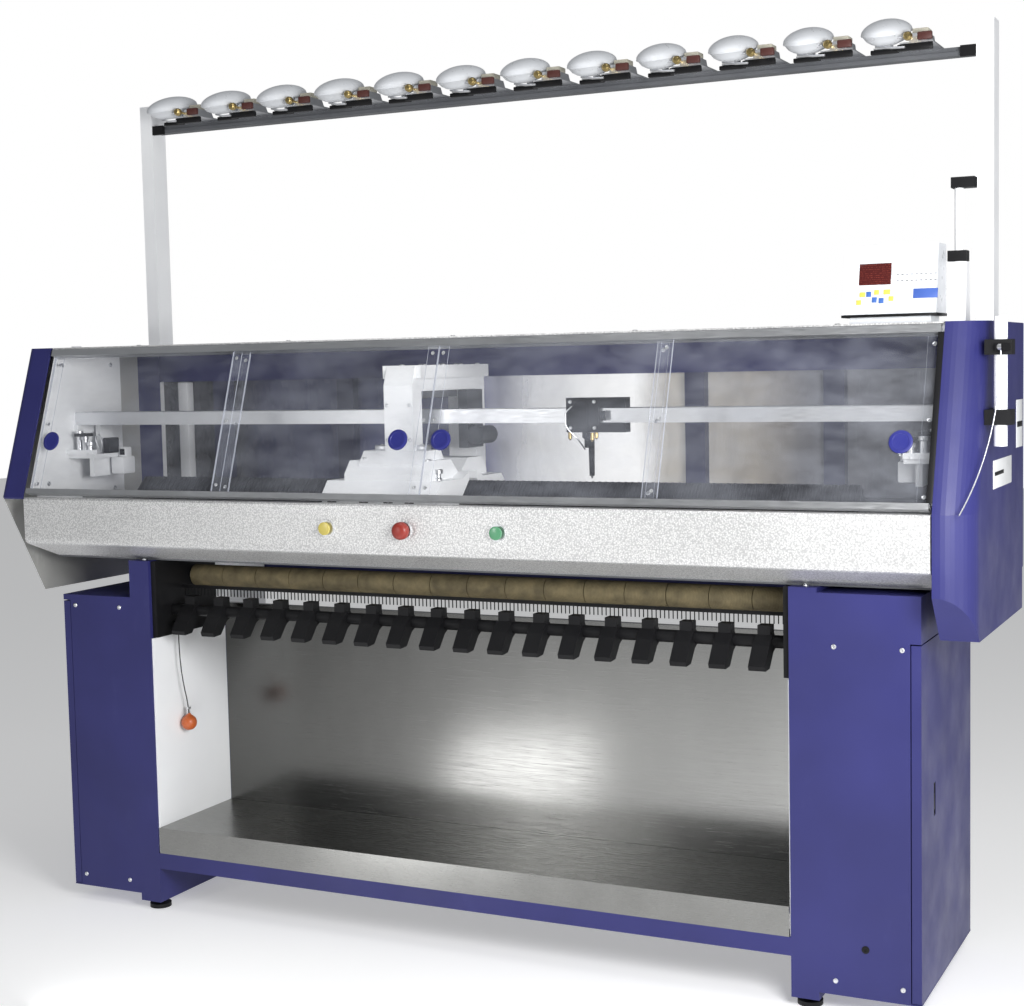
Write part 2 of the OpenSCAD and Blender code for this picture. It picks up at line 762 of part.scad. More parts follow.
function unit(v) = v / norm(v);
function route_dir(p, i) = unit(p[min(i + 1, len(p) - 1)] - p[max(i - 1, 0)]);
function ring_point(p, i, a) =
    let (d = route_dir(p, i), u = unit(cross(d, [1, 0, 0])), v = cross(d, u))
    p[i] + cord_r * (u * cos(a) + v * sin(a));

// A cord swept along the points of a route
module cord_tube(p) {
    sides = 8;
    n = len(p);
    rings = [for (i = [0 : n - 1], k = [0 : sides - 1]) ring_point(p, i, k * 360 / sides)];
    walls = [
        for (i = [0 : n - 2], k = [0 : sides - 1])
            [i * sides + k, i * sides + (k + 1) % sides,
             (i + 1) * sides + (k + 1) % sides, (i + 1) * sides + k]
    ];
    ends = [
        [for (k = [sides - 1 : -1 : 0]) k],
        [for (k = [0 : sides - 1]) (n - 1) * sides + k]
    ];
    polyhedron(points = rings, faces = concat(walls, ends), convexity = 4);
}

module pull_cord() color("#2a2a2c") cord_tube(cord_route);

module pull_knob() color("#c8502a") translate([-795, -90, 488]) {
    translate([0, 0, -6]) cylinder(h = 6, r = 4);
    translate([0, 0, -4 - knob_r]) sphere(r = knob_r);
}

// ---------- drawing ----------

leg_frames();
levelling_feet();
cross_beams();
shelf_tray();
back_panel();
inner_walls();
take_down_plates();
left_cabinet();
right_cabinet();
left_cabinet_door();
right_cabinet_door();
electronics_rack();
bed_girders();
needle_beds();
needles();
feeder_rails();
front_cover();
button_bezels();
button_yellow();
button_red();
button_green();
left_end_cover();
right_end_cover();
end_panels();
top_cover();
rear_frame();
rear_screens();
door_tracks();
door_1();
door_2();
door_3();
door_4();
door_pull_1();
door_pull_2();
door_pull_3();
door_pull_4();
carriage_bridge();
cam_boxes();
feeder_selector();
yarn_feeder();
drive_belts();
drive_pulley_left();
drive_pulley_right();
motors();
take_down_roller();
take_down_shaft();
motor_pulley();
pressure_shaft();
fabric_comb();
yarn_posts();
yarn_bar();
tension_domes();
tension_plates();
tension_knobs();
control_box();
tube_clamps();
left_wire_arm();
right_wire_arm();
pull_cord();
pull_knob();
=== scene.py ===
"""Looks of the flat-bed knitting machine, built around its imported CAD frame."""

import json
import math

import bmesh
import bpy
from mathutils import Matrix, Vector


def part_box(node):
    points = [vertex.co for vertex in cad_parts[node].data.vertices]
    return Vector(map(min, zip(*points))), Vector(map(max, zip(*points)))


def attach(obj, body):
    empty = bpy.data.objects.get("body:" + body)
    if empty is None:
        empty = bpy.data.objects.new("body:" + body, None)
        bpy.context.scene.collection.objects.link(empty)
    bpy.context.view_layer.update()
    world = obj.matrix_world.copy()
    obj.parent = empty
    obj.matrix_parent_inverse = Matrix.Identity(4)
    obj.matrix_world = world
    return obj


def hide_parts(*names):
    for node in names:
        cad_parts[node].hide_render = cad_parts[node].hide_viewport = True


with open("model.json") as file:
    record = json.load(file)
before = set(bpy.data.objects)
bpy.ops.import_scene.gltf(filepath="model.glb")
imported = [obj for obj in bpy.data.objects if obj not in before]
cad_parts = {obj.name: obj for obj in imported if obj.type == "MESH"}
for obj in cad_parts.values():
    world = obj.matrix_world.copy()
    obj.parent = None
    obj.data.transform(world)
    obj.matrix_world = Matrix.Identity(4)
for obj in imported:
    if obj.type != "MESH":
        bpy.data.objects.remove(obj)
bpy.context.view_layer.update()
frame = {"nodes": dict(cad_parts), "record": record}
nodes = frame["nodes"]

# ---------- camera, light and floor ----------

CAMERA_AT = (1.832, -3.5502, 1.3588)
CAMERA_YAW, CAMERA_PITCH, CAMERA_ROLL = 26.09, -4.593, -1.23
LENS_MM = 59.4
SENSOR_MM = 36
LENS_SHIFT = -0.003
SURROUND_LIGHT = 0.16
FLOOR_HALF = 14

# Name, place, target, size and watts of each soft box
LIGHTS = (
    ("key", (1.95, -1.7, 1.5), (0.2, -0.1, 0.8), (0.9, 0.9), 62),
    ("window", (-1.45, -3.2, 1.2), (0.1, 0, 0.4), (0.5, 0.8), 12),
    ("overhead", (0.4, -0.8, 4.2), (0.2, -0.2, 1.0), (4.0, 2.0), 36),
    ("low", (-0.47, -0.95, 0.08), (0.1, 0.3, 0.35), (0.45, 0.2), 1.1),
    ("side", (3.6, -1.0, 0.9), (-0.5, 0, 0.8), (0.8, 1.6), 14),
)


def turn(degrees, axis):
    """A rotation about an axis, in degrees."""
    return Matrix.Rotation(math.radians(degrees), 4, axis)


def add_camera():
    """The photograph's camera."""
    data = bpy.data.cameras.new("camera")
    data.lens = LENS_MM
    data.sensor_width = SENSOR_MM
    data.shift_y = LENS_SHIFT
    camera = bpy.data.objects.new("camera", data)
    aim = turn(CAMERA_YAW, "Z") @ turn(90 + CAMERA_PITCH, "X") @ turn(CAMERA_ROLL, "Z")
    camera.matrix_world = Matrix.Translation(CAMERA_AT) @ aim
    bpy.context.scene.collection.objects.link(camera)
    bpy.context.scene.camera = camera


def add_light(name, at, target, size, power):
    """A soft box at a place, turned to a target, which the camera doesn't see."""
    data = bpy.data.lights.new(name, "AREA")
    data.shape = "RECTANGLE"
    data.size, data.size_y = size
    data.energy = power
    light = bpy.data.objects.new(name, data)
    light.location = at
    light.rotation_euler = (Vector(target) - Vector(at)).to_track_quat("-Z", "Y").to_euler()
    light.visible_camera = False
    bpy.context.scene.collection.objects.link(light)


def add_world():
    """A plain white surround that looks white and lights softly."""
    world = bpy.data.worlds.new("studio")
    world.use_nodes = True
    tree = world.node_tree
    tree.nodes.clear()
    out = tree.nodes.new("ShaderNodeOutputWorld")
    mix = tree.nodes.new("ShaderNodeMixShader")
    path = tree.nodes.new("ShaderNodeLightPath")
    soft = tree.nodes.new("ShaderNodeBackground")
    seen = tree.nodes.new("ShaderNodeBackground")
    soft.inputs["Color"].default_value = (0.93, 0.96, 1.0, 1)
    soft.inputs["Strength"].default_value = SURROUND_LIGHT
    seen.inputs["Color"].default_value = (1, 1, 1, 1)
    seen.inputs["Strength"].default_value = 1.0
    tree.links.new(path.outputs["Is Camera Ray"], mix.inputs["Fac"])
    tree.links.new(soft.outputs[0], mix.inputs[1])
    tree.links.new(seen.outputs[0], mix.inputs[2])
    tree.links.new(mix.outputs[0], out.inputs["Surface"])
    bpy.context.scene.world = world


def add_stage():
    """Camera, surround, soft boxes and a plain pale floor."""
    add_camera()
    add_world()
    for light in LIGHTS:
        add_light(*light)
    bm = bmesh.new()
    bmesh.ops.create_grid(bm, x_segments=2, y_segments=2, size=FLOOR_HALF)
    floor = finish_mesh("floor", bm, paint_floor())
    view = bpy.context.scene.view_settings
    view.view_transform = "Standard"
    view.look = "None"


# ---------- material building blocks ----------


class Shader:
    """A Principled material whose detail comes from object-space noise."""

    def __init__(self, name, color, roughness, metallic=0.0, **sockets):
        self.material = bpy.data.materials.new(name)
        self.material.use_nodes = True
        self.tree = self.material.node_tree
        self.bsdf = self.tree.nodes["Principled BSDF"]
        self.bsdf.inputs["Base Color"].default_value = (*color, 1)
        self.bsdf.inputs["Roughness"].default_value = roughness
        self.bsdf.inputs["Metallic"].default_value = metallic
        for socket, value in sockets.items():
            self.bsdf.inputs[socket.replace("_", " ")].default_value = value
        self.coord = self.tree.nodes.new("ShaderNodeTexCoord")
        self.height = None

    def scaled(self, stretch):
        """Object coordinates stretched along each axis."""
        node = self.tree.nodes.new("ShaderNodeMapping")
        node.inputs["Scale"].default_value = stretch
        self.tree.links.new(self.coord.outputs["Object"], node.inputs["Vector"])
        return node.outputs[0]

    def noise(self, scale, detail=3.0, stretch=(1, 1, 1), rough=0.5):
        """Cloudy noise, drawn out along an axis where its stretch is small."""
        node = self.tree.nodes.new("ShaderNodeTexNoise")
        node.inputs["Scale"].default_value = scale
        node.inputs["Detail"].default_value = detail
        node.inputs["Roughness"].default_value = rough
        self.tree.links.new(self.scaled(stretch), node.inputs["Vector"])
        return node.outputs["Fac"]

    def cells(self, scale):
        """Distance to the nearest of many scattered points."""
        node = self.tree.nodes.new("ShaderNodeTexVoronoi")
        node.inputs["Scale"].default_value = scale
        self.tree.links.new(self.scaled((1, 1, 1)), node.inputs["Vector"])
        return node.outputs["Distance"]

    def waves(self, scale, axis="X", distortion=0.0):
        """Even bands across an axis."""
        node = self.tree.nodes.new("ShaderNodeTexWave")
        node.bands_direction = axis
        node.inputs["Scale"].default_value = scale
        node.inputs["Distortion"].default_value = distortion
        self.tree.links.new(self.coord.outputs["Object"], node.inputs["Vector"])
        return node.outputs["Fac"]

    def across(self, axis):
        """The object coordinate along an axis."""
        split = self.tree.nodes.new("ShaderNodeSeparateXYZ")
        self.tree.links.new(self.coord.outputs["Object"], split.inputs[0])
        return split.outputs[axis]

    def along(self, axis, low, high):
        """0 at low and 1 at high, along an object axis."""
        return self.remap(self.across(axis), 0.0, 1.0, low, high)

    def facing(self, direction, low, high):
        """0 to 1 as the surface turns to face a direction, either way."""
        node = self.tree.nodes.new("ShaderNodeVectorMath")
        node.operation = "DOT_PRODUCT"
        node.inputs[1].default_value = direction
        self.tree.links.new(self.coord.outputs["Normal"], node.inputs[0])
        return self.remap(self.math("ABSOLUTE", node.outputs["Value"]), 0.0, 1.0, low, high)

    def math(self, operation, a, b=None):
        """Sockets or numbers combined by a maths operation."""
        node = self.tree.nodes.new("ShaderNodeMath")
        node.operation = operation
        for socket, value in zip(node.inputs, (a, b)):
            if value is None:
                continue
            if isinstance(value, (int, float)):
                socket.default_value = value
            else:
                self.tree.links.new(value, socket)
        return node.outputs[0]

    def remap(self, value, low, high, start=0.0, stop=1.0):
        """low to high, as value goes from start to stop."""
        node = self.tree.nodes.new("ShaderNodeMapRange")
        for name, number in (("From Min", start), ("From Max", stop), ("To Min", low), ("To Max", high)):
            node.inputs[name].default_value = number
        self.tree.links.new(value, node.inputs["Value"])
        return node.outputs[0]

    def mix(self, amount, first, second):
        """Blends colours; first and second are sockets or RGB triples."""
        node = self.tree.nodes.new("ShaderNodeMix")
        node.data_type = "RGBA"
        self.tree.links.new(amount, node.inputs["Factor"])
        for name, value in ((6, first), (7, second)):
            if isinstance(value, tuple):
                node.inputs[name].default_value = (*value, 1)
            else:
                self.tree.links.new(value, node.inputs[name])
        return node.outputs[2]

    def set(self, socket, value):
        """Joins a value to an input of the Principled shader."""
        self.tree.links.new(value, self.bsdf.inputs[socket])

    def bump(self, value, distance, strength=1.0):
        """Adds one more layer of relief over the earlier ones."""
        node = self.tree.nodes.new("ShaderNodeBump")
        node.inputs["Distance"].default_value = distance
        node.inputs["Strength"].default_value = strength
        self.tree.links.new(value, node.inputs["Height"])
        if self.height is not None:
            self.tree.links.new(self.height, node.inputs["Normal"])
        self.height = node.outputs[0]
        self.tree.links.new(self.height, self.bsdf.inputs["Normal"])


def powder_coat(name, light, dark, roughness=0.42, grain=900, wear=0.12, shine=0.35):
    """Powder coat: fine orange peel, cloudy tone and a few pale rubs."""
    s = Shader(name, light, roughness, Specular_IOR_Level=shine)
    cloud = s.noise(3.5, 4)
    rub = s.remap(s.noise(14, 6, stretch=(1, 1, 0.35), rough=0.65), 0, wear, 0.62, 0.8)
    pale = tuple(min(1.0, c * 1.5 + 0.05) for c in light)
    s.set("Base Color", s.mix(rub, s.mix(s.remap(cloud, 0, 1, 0.35, 0.65), dark, light), pale))
    s.set("Roughness", s.remap(s.noise(9, 5), roughness - 0.07, roughness + 0.1, 0.3, 0.7))
    s.bump(s.noise(grain, 2), 0.00012, 0.5)
    s.bump(s.noise(5, 2), 0.0015, 0.12)
    return s.material


def brushed_metal(name, color, roughness, stretch, streak=0.0001, dirt=0.25):
    """Sheet or bar with a brushed grain along one axis and cloudy handling marks."""
    s = Shader(name, color, roughness, 1.0)
    grain = s.noise(60, 6, stretch=stretch, rough=0.7)
    cloud = s.noise(4, 5, rough=0.6)
    dull = tuple(c * 0.62 for c in color)
    s.set("Base Color", s.mix(s.remap(cloud, 0, dirt * 2, 0.4, 0.75), color, dull))
    s.set("Roughness", s.remap(grain, roughness - 0.08, roughness + 0.12, 0.3, 0.7))
    s.bump(grain, streak, 0.6)
    s.bump(cloud, 0.002, 0.12)
    return s.material


def plastic(name, color, roughness=0.25, cloud=0.12, grain=500):
    """Moulded plastic with a faint mottled tone and a fine surface grain."""
    s = Shader(name, color, roughness)
    shade = tuple(c * (1 - cloud) for c in color)
    s.set("Base Color", s.mix(s.noise(30, 4), shade, color))
    s.set("Roughness", s.remap(s.noise(60, 4), roughness - 0.05, roughness + 0.12, 0.3, 0.7))
    s.bump(s.noise(grain, 2), 0.00006, 0.4)
    return s.material


def paint_floor():
    """Matt pale floor with a faint lift, so it fades into the surround."""
    s = Shader("pale_floor", (0.84, 0.84, 0.84), 0.85, Specular_IOR_Level=0.1, Emission_Strength=0.34)
    s.set("Base Color", s.mix(s.noise(1.2, 3), (0.83, 0.83, 0.83), (0.86, 0.86, 0.86)))
    s.bsdf.inputs["Emission Color"].default_value = (1, 1, 1, 1)
    return s.material


def hammertone():
    """Silver hammered paint of the front cover: small cells over a soft metallic tone."""
    s = Shader("hammertone", (0.66, 0.66, 0.65), 0.4, 0.55)
    cell = s.cells(260)
    s.set("Base Color", s.mix(s.remap(cell, 0, 1, 0.1, 0.7), (0.93, 0.93, 0.92), (0.55, 0.55, 0.55)))
    s.set("Roughness", s.remap(s.noise(6, 5), 0.34, 0.5, 0.3, 0.7))
    s.bump(cell, 0.0004, 0.55)
    s.bump(s.noise(3, 2), 0.003, 0.15)
    return s.material


def clear_sheet():
    """Clear door sheet: faintly tinted, with smears and bright sawn edges."""
    s = Shader("clear_sheet", (0.55, 0.58, 0.66), 0.06, 0.0, IOR=1.4)
    smear = s.noise(7, 6, stretch=(1, 1, 2.2), rough=0.62)
    film = s.remap(smear, 0.03, 0.12, 0.35, 0.7)
    edge = s.math("MAXIMUM", s.facing((1, 0, 0), 0.8, 0.95), s.facing((0, 0.324, 0.946), 0.9, 0.98))
    s.set("Alpha", s.math("MAXIMUM", film, s.math("MULTIPLY", edge, 0.75)))
    s.set("Roughness", s.remap(smear, 0.03, 0.12, 0.3, 0.7))
    s.bump(s.noise(3, 2), 0.002, 0.08)
    return s.material


def smoked_pane():
    """Rear panes: smoked sheet whose tints, painted reflections and dirt change from pane to pane."""
    s = Shader("smoked_pane", (0.1, 0.1, 0.12), 0.2, 0.0, IOR=1.45)
    wander = s.math("MULTIPLY", s.remap(s.noise(5, 5, stretch=(1, 1, 0.3)), -1, 1), 0.09)
    across = s.remap(s.math("ADD", s.across("X"), wander), 0, 1, -1.2, 1.2)
    # Painted reflection: this ramp gives each pane its smoked tone together with the reflections painted
    # into it.
    tint_and_reflection = s.tree.nodes.new("ShaderNodeValToRGB")
    # Place from left to right, colour and cover of each pane's smoke and painted reflection
    stops = (
        (0.00, (0.03, 0.03, 0.03), 0.94), (0.12, (0.03, 0.03, 0.035), 0.95),
        (0.16, (0.04, 0.045, 0.12), 0.95), (0.34, (0.07, 0.08, 0.24), 0.93),
        (0.44, (0.14, 0.16, 0.38), 0.72), (0.50, (0.55, 0.58, 0.66), 0.36),
        (0.60, (0.92, 0.93, 0.95), 0.08), (0.635, (0.52, 0.47, 0.38), 0.55),
        (0.74, (0.42, 0.37, 0.30), 0.70), (0.80, (0.20, 0.20, 0.22), 0.86),
        (1.00, (0.16, 0.17, 0.21), 0.88),
    )
    for _ in stops[2:]:
        tint_and_reflection.color_ramp.elements.new(0.5)
    for element, (at, color, alpha) in zip(tint_and_reflection.color_ramp.elements, stops):
        element.position = at
        element.color = (*color, alpha)
    s.tree.links.new(across, tint_and_reflection.inputs[0])
    dirt = s.noise(16, 7, stretch=(1, 1, 0.5), rough=0.65)
    s.set("Base Color", s.mix(s.remap(dirt, 0, 0.4, 0.35, 0.75), tint_and_reflection.outputs["Color"], (0.18, 0.18, 0.20)))
    s.set("Alpha", s.math("MULTIPLY", tint_and_reflection.outputs["Alpha"], s.remap(dirt, 0.9, 1.08, 0.3, 0.7)))
    s.set("Roughness", s.remap(dirt, 0.12, 0.4, 0.3, 0.7))
    return s.material


def panel_steel():
    """Glossy stainless back panel: painted reflection that darkens the left and lightens towards the right,
    with level polishing lines.
    """
    s = Shader("panel_steel", (0.4, 0.4, 0.39), 0.22, 1.0)
    lines = s.noise(50, 6, stretch=(0.25, 1, 12), rough=0.7)
    cloud = s.noise(2.2, 5, stretch=(1, 1, 0.5), rough=0.6)
    # Painted reflection: the base colour lightens from left to right along X, broken by soft cloud.
    painted_reflection_ramp = s.remap(s.math("ADD", s.along("X", -0.9, 1.3), s.math("MULTIPLY", cloud, 0.35)), 0, 1, 0.3, 0.95)
    s.set("Base Color", s.mix(painted_reflection_ramp, (0.15, 0.15, 0.145), (0.40, 0.40, 0.39)))
    s.set("Roughness", s.remap(lines, 0.14, 0.30, 0.3, 0.7))
    s.bump(lines, 0.0001, 0.6)
    s.bump(cloud, 0.004, 0.12)
    return s.material


def machined_steel(name, color, roughness, ridge=None):
    """Dark machined steel, with fine ridges across X where ridge gives their scale."""
    s = Shader(name, color, roughness, 0.85)
    tone = s.noise(8, 6, rough=0.7)
    s.set("Base Color", s.mix(tone, tuple(c * 0.55 for c in color), tuple(c * 1.5 for c in color)))
    s.set("Roughness", s.remap(s.noise(45, 4), roughness - 0.08, roughness + 0.15, 0.3, 0.7))
    if ridge:
        s.bump(s.waves(ridge), 0.001, 0.9)
    s.bump(s.noise(300, 3), 0.0001, 0.5)
    return s.material


def sleeve_rubber():
    """Tan take-down rubber with fine turned grooves and darker bands of wear."""
    s = Shader("sleeve_rubber", (0.36, 0.27, 0.13), 0.75)
    band = s.waves(90, distortion=1.5)
    blot = s.noise(26, 5, rough=0.6)
    base = s.mix(s.remap(blot, 0, 1, 0.35, 0.7), (0.27, 0.22, 0.115), (0.12, 0.10, 0.055))
    s.set("Base Color", s.mix(s.remap(band, 0, 0.35), base, (0.12, 0.09, 0.05)))
    s.bump(band, 0.0006, 0.8)
    s.bump(s.noise(400, 3), 0.0002, 0.5)
    return s.material


def rubber(name, color):
    """Dull rubber with a fine grain."""
    s = Shader(name, color, 0.7)
    s.set("Base Color", s.mix(s.noise(40, 4), color, tuple(c * 1.7 + 0.005 for c in color)))
    s.bump(s.noise(260, 3), 0.0002, 0.5)
    return s.material


def braid():
    """Thin braided cord: a tight diagonal weave."""
    s = Shader("braid", (0.03, 0.03, 0.032), 0.8, Sheen_Weight=0.4)
    weave = s.math("MULTIPLY", s.waves(320, "Z", 2.0), s.waves(420, "DIAGONAL", 1.0))
    s.set("Base Color", s.mix(weave, (0.015, 0.015, 0.017), (0.09, 0.09, 0.09)))
    s.bump(weave, 0.0003, 0.8)
    return s.material


def screen_glass():
    """Dark maroon display window with dim red character rows."""
    s = Shader("screen_glass", (0.05, 0.008, 0.008), 0.12, Emission_Strength=1.0)
    rows = s.remap(s.waves(75, "Z"), 0, 1, 0.55, 0.8)
    marks = s.remap(s.noise(420, 2), 0, 1, 0.45, 0.6)
    glow = s.math("MULTIPLY", rows, marks)
    s.set("Emission Color", s.mix(glow, (0.035, 0.006, 0.006), (0.16, 0.03, 0.02)))
    s.set("Base Color", s.mix(s.noise(90, 3), (0.03, 0.006, 0.006), (0.07, 0.012, 0.01)))
    return s.material


def make_materials():
    """One finish for each material slot of the record, then second finishes of single parts."""
    return {
        "blue_paint": powder_coat("indigo_powder", (0.030, 0.031, 0.148), (0.024, 0.025, 0.118)),
        "white_paint": powder_coat("white_enamel", (0.93, 0.94, 0.95), (0.87, 0.88, 0.90), 0.4, 600, 0.3),
        "grey_paint": powder_coat("grey_enamel", (0.13, 0.135, 0.145), (0.09, 0.095, 0.105), 0.5),
        "black_metal": powder_coat(
            "black_enamel", (0.011, 0.011, 0.012), (0.006, 0.006, 0.007), 0.45, shine=0.2),
        "silver_paint": hammertone(),
        "stainless": brushed_metal("stainless", (0.30, 0.30, 0.29), 0.27, (0.4, 14, 14)),
        "bright_steel": brushed_metal("bright_steel", (0.80, 0.81, 0.83), 0.36, (0.5, 9, 9)),
        "alloy": brushed_metal("turned_alloy", (0.70, 0.71, 0.72), 0.33, (6, 6, 6)),
        "dark_steel": machined_steel("dark_steel", (0.035, 0.035, 0.040), 0.45, 42),
        "clear_sheet": clear_sheet(),
        "smoked_sheet": smoked_pane(),
        "panel_steel": panel_steel(),
        "pillar_paint": powder_coat("pillar_paint", (0.030, 0.031, 0.085), (0.022, 0.023, 0.065)),
        "rail_shade": machined_steel("rail_shade", (0.05, 0.05, 0.055), 0.4),
        "liner": powder_coat("liner_paint", (0.52, 0.52, 0.50), (0.38, 0.38, 0.36), 0.5, 500, 0.4),
        "belt_rubber": rubber("belt_rubber", (0.02, 0.02, 0.022)),
        "roller_rubber": sleeve_rubber(),
        "white_plastic": plastic("white_moulding", (0.72, 0.74, 0.77), 0.3, 0.08),
        "blue_plastic": plastic("blue_plastic", (0.024, 0.028, 0.20), 0.36),
        "yellow_plastic": plastic("yellow_plastic", (0.60, 0.50, 0.12), 0.2),
        "red_plastic": plastic("red_plastic", (0.30, 0.035, 0.025), 0.32),
        "green_plastic": plastic("green_plastic", (0.10, 0.30, 0.16), 0.2),
        "brass_knob": brushed_metal("brass", (0.62, 0.47, 0.20), 0.3, (4, 4, 4)),
        "cord_fabric": braid(),
        "orange_plastic": plastic("orange_plastic", (0.58, 0.13, 0.035), 0.35, 0.25),
        "screen": screen_glass(),
        "dark_red": plastic("dark_red", (0.09, 0.025, 0.02), 0.45, 0.3),
        "beige": plastic("beige_plastic", (0.60, 0.57, 0.47), 0.45, 0.2),
        "label_white": plastic("label_white", (0.78, 0.79, 0.80), 0.5, 0.1),
        "label_blue": plastic("label_blue", (0.06, 0.13, 0.46), 0.45, 0.25),
        "key_yellow": plastic("key_yellow", (0.75, 0.60, 0.10), 0.4),
        "key_blue": plastic("key_blue", (0.05, 0.14, 0.45), 0.4),
    }


# ---------- mesh building blocks ----------


def finish_mesh(name, bm, material, smooth_angle=35):
    """Turns a bmesh in frame coordinates into an object with one material."""
    bmesh.ops.recalc_face_normals(bm, faces=bm.faces[:])
    mesh = bpy.data.meshes.new(name)
    bm.to_mesh(mesh)
    bm.free()
    mesh.polygons.foreach_set("use_smooth", [True] * len(mesh.polygons))
    mesh.set_sharp_from_angle(angle=math.radians(smooth_angle))
    mesh.materials.append(material)
    obj = bpy.data.objects.new(name, mesh)
    bpy.context.scene.collection.objects.link(obj)
    return obj


def piece(name, bm, slot, body, paint=None):
    """A finished piece that rides on a body and takes a record slot's material."""
    obj = finish_mesh(name, bm, paint or materials[slot])
    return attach(obj, body)


def add_box(bm, low, high, bevel=0.001, place=None, segments=2):
    """A box with rounded edges, from its low and high corners; place then moves it."""
    low, high = Vector(low), Vector(high)
    size = high - low
    matrix = Matrix.Translation((low + high) / 2) @ Matrix.Diagonal((*size, 1))
    made = bmesh.ops.create_cube(bm, size=1, matrix=matrix)
    verts = made["verts"]
    if bevel > 0:
        edges = list({e for v in verts for e in v.link_edges})
        done = bmesh.ops.bevel(
            bm, geom=edges, offset=min(bevel, min(size) * 0.45), segments=segments,
            profile=0.5, affect="EDGES", clamp_overlap=True,
        )
        verts = list({v for f in done["faces"] for v in f.verts})
    if place is not None:
        bmesh.ops.transform(bm, matrix=place, verts=verts)
    return verts


def add_lathe(bm, profile, place, steps=32):
    """Turns a profile of (radius, height) points about the local Z axis of place."""
    rings = []
    for radius, height in profile:
        if radius < 1e-6:
            rings.append([bm.verts.new(place @ Vector((0, 0, height)))])
            continue
        rings.append([
            bm.verts.new(place @ Vector((
                radius * math.cos(2 * math.pi * i / steps),
                radius * math.sin(2 * math.pi * i / steps), height,
            ))) for i in range(steps)
        ])
    for lower, upper in zip(rings, rings[1:]):
        for i in range(steps):
            j = (i + 1) % steps
            if len(lower) == 1:
                bm.faces.new((lower[0], upper[i], upper[j]))
            elif len(upper) == 1:
                bm.faces.new((lower[i], lower[j], upper[0]))
            else:
                bm.faces.new((lower[i], lower[j], upper[j], upper[i]))


def add_tube(bm, points, radius, sides=12):
    """A round bar along points, with closed ends. radius may be one number per point."""
    points = [Vector(p) for p in points]
    radii = radius if isinstance(radius, (list, tuple)) else [radius] * len(points)
    normal = None
    rings = []
    for i, point in enumerate(points):
        ahead = points[min(i + 1, len(points) - 1)] - points[max(i - 1, 0)]
        ahead.normalize()
        if normal is None:
            normal = ahead.orthogonal().normalized()
        normal = (normal - ahead * normal.dot(ahead)).normalized()
        side = ahead.cross(normal)
        rings.append([
            bm.verts.new(point + radii[i] * (
                normal * math.cos(2 * math.pi * k / sides) + side * math.sin(2 * math.pi * k / sides)
            )) for k in range(sides)
        ])
    for lower, upper in zip(rings, rings[1:]):
        for k in range(sides):
            n = (k + 1) % sides
            bm.faces.new((lower[k], lower[n], upper[n], upper[k]))
    bm.faces.new(rings[0][::-1])
    bm.faces.new(rings[-1])


def pointing(at, direction):
    """A place whose local Z axis points along direction."""
    turn_to = Vector(direction).to_track_quat("Z", "Y").to_matrix().to_4x4()
    return Matrix.Translation(at) @ turn_to


def add_screw(bm, at, direction, radius=0.004, proud=0.0025):
    """A button-head screw with a hex recess."""
    place = pointing(at, direction)
    head = [
        (radius, 0), (radius, proud * 0.35), (radius * 0.85, proud * 0.8),
        (radius * 0.58, proud), (radius * 0.45, proud), (radius * 0.42, proud * 0.35), (0, proud * 0.35),
    ]
    add_lathe(bm, head, place, 16)


def smooth_path(points, per_span=6):
    """Points on a smooth curve through the given ones."""
    pts = [Vector(p) for p in points]
    pts = [2 * pts[0] - pts[1], *pts, 2 * pts[-1] - pts[-2]]
    found = []
    for a, b, c, d in zip(pts, pts[1:], pts[2:], pts[3:]):
        for k in range(per_span):
            t = k / per_span
            found.append(0.5 * (
                2 * b + (c - a) * t + (2 * a - 5 * b + 4 * c - d) * t * t
                + (3 * b - a - 3 * c + d) * t * t * t
            ))
    found.append(pts[-2])
    return found


# ---------- pull cord ----------

# The cord's middle line, from the bracket down to the ball
CORD_ROUTE = [
    (-0.795, -0.120, 0.716), (-0.795, -0.120, 0.700), (-0.795, -0.120, 0.675), (-0.795, -0.119, 0.650),
    (-0.795, -0.117, 0.625), (-0.795, -0.114, 0.600), (-0.795, -0.109, 0.575), (-0.795, -0.103, 0.550),
    (-0.795, -0.097, 0.530), (-0.795, -0.093, 0.512), (-0.795, -0.091, 0.500), (-0.795, -0.090, 0.488),
]
CORD_RADIUS = 0.0015


def make_pull_cord():
    """The hanging cord, the orange ball on its end and the clevis between them."""
    bm = bmesh.new()
    add_tube(bm, CORD_ROUTE, CORD_RADIUS, 10)
    cord = piece("cord", bm, "cord_fabric", "frame")
    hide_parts("pull_cord")
    low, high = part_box("pull_knob")
    center = (low + high) / 2
    radius = (high.x - low.x) / 2
    place = Matrix.Translation((center.x, center.y, low.z))
    bm = bmesh.new()
    ball = [(radius * math.sin(a), radius - radius * math.cos(a))
            for a in (math.radians(d) for d in range(0, 156, 8))]
    neck = [(0.007, 0.0395), (0.0055, 0.041), (0.0045, 0.0435), (0.0035, 0.044), (0.0, 0.044)]
    add_lathe(bm, ball + neck, place, 40)
    turned = piece("cord_knob", bm, "orange_plastic", "frame")
    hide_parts("pull_knob")
    bm = bmesh.new()
    for y in (center.y - 0.004, center.y + 0.004):
        add_tube(bm, [(center.x, y, high.z + z) for z in (-0.004, 0.0, 0.006, 0.012)], 0.0012, 8)
    add_box(bm, (center.x - 0.003, center.y - 0.006, high.z + 0.010),
            (center.x + 0.003, center.y + 0.006, high.z + 0.016), 0.001)
    clevis = piece("cord_clevis", bm, "bright_steel", "frame")


# ---------- doors ----------

